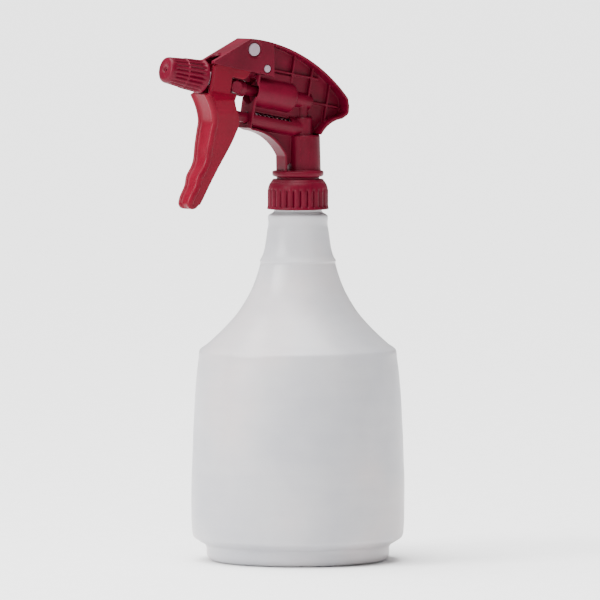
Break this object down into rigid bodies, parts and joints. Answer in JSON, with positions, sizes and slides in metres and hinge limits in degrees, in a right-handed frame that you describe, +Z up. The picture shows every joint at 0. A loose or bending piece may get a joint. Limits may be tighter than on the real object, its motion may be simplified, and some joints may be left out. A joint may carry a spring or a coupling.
{
  "type": "hand mister",
  "caption": "Trigger sprayer: open-frame pump head with lever, adjustable nozzle, screw cap and dip tube on a round translucent bottle.",
  "frame": {"origin": "centre of the bottle's underside, on the plane that it stands on", "axes": "+Z up along the bottle's axis; the nozzle points to -X; +Y completes the right-handed frame"},
  "size_m": [0.1414, 0.1134, 0.2772],
  "materials": {
    "red_plastic": "satin moulded polypropylene",
    "trigger_plastic": "satin moulded polypropylene",
    "white_plastic": "matte acetal",
    "natural_hdpe": "translucent blown polyethylene",
    "tube_plastic": "translucent extruded tube",
    "seal_rubber": "matte elastomer",
    "stainless": "bright drawn wire and balls"
  },
  "bodies": {
    "bottle": {"bottle": "natural_hdpe"},
    "head": {"body_frame": "red_plastic", "front_shroud": "red_plastic", "trigger_pivot_pin": "white_plastic", "shroud_pin": "white_plastic", "neck_gasket": "seal_rubber", "tube_adapter": "white_plastic", "dip_tube": "tube_plastic", "return_spring": "stainless", "nozzle_barrel": "white_plastic", "swirl_core": "white_plastic", "outlet_valve_spring": "stainless"},
    "cap": {"closure_cap": "red_plastic"},
    "trigger": {"trigger": "trigger_plastic"},
    "piston": {"piston_rod": "red_plastic", "piston_cup": "white_plastic", "piston_wiper_ring": "seal_rubber"},
    "plunger": {"spring_plunger": "red_plastic", "spring_seat_cup": "white_plastic"},
    "knob_seal": {"nozzle_seal_ring": "seal_rubber"},
    "knob": {"nozzle_knob": "red_plastic"},
    "inlet_ball": {"inlet_valve_ball": "stainless"},
    "outlet_ball": {"outlet_valve_ball": "stainless"}
  },
  "joints": [
    {"name": "cap_lift", "type": "slide", "parent": "bottle", "child": "head", "axis": [0, 0, 1], "range_m": [0, 0.00635]},
    {"name": "cap_turn", "type": "hinge", "parent": "head", "child": "cap", "pos_m": [0, 0, 0.19], "axis": [0, 0, 1], "range_deg": [0, 540]},
    {"name": "trigger_pull", "type": "hinge", "parent": "head", "child": "trigger", "pos_m": [-0.03141, 0, 0.27138], "axis": [0, -1, 0], "range_deg": [0, 21], "stiffness_Nm_per_rad": 0.5, "springref_deg": -14.32},
    {"name": "piston_slide", "type": "slide", "parent": "head", "child": "piston", "axis": [0.9833, 0, -0.1822], "range_m": [0, 0.0081]},
    {"name": "plunger_slide", "type": "slide", "parent": "head", "child": "plunger", "axis": [0.9833, 0, -0.1822], "range_m": [0, 0.0138], "deforming": ["return_spring"]},
    {"name": "nozzle_lift", "type": "slide", "parent": "head", "child": "knob_seal", "axis": [-0.9833, 0, 0.1822], "range_m": [0, 0.002]},
    {"name": "nozzle_turn", "type": "hinge", "parent": "knob_seal", "child": "knob", "pos_m": [-0.06011, 0, 0.25727], "axis": [-0.9833, 0, 0.1822], "range_deg": [0, 360]},
    {"name": "inlet_ball_lift", "type": "slide", "parent": "head", "child": "inlet_ball", "axis": [0, 0, 1], "range_m": [0, 0.0015]},
    {"name": "outlet_ball_lift", "type": "slide", "parent": "head", "child": "outlet_ball", "axis": [-0.9833, 0, 0.1822], "range_m": [0, 0.0015], "stiffness_N_per_m": 60, "springref_m": -0.001, "deforming": ["outlet_valve_spring"]}
  ],
  "couplings": [
    {"joint": "cap_lift", "follows": "cap_turn", "m_per_rad": 0.00067323},
    {"joint": "piston_slide", "follows": "trigger_pull", "m_per_rad": 0.021691},
    {"joint": "plunger_slide", "follows": "trigger_pull", "m_per_rad": 0.037106},
    {"joint": "nozzle_lift", "follows": "nozzle_turn", "m_per_rad": 0.00031831}
  ]
}
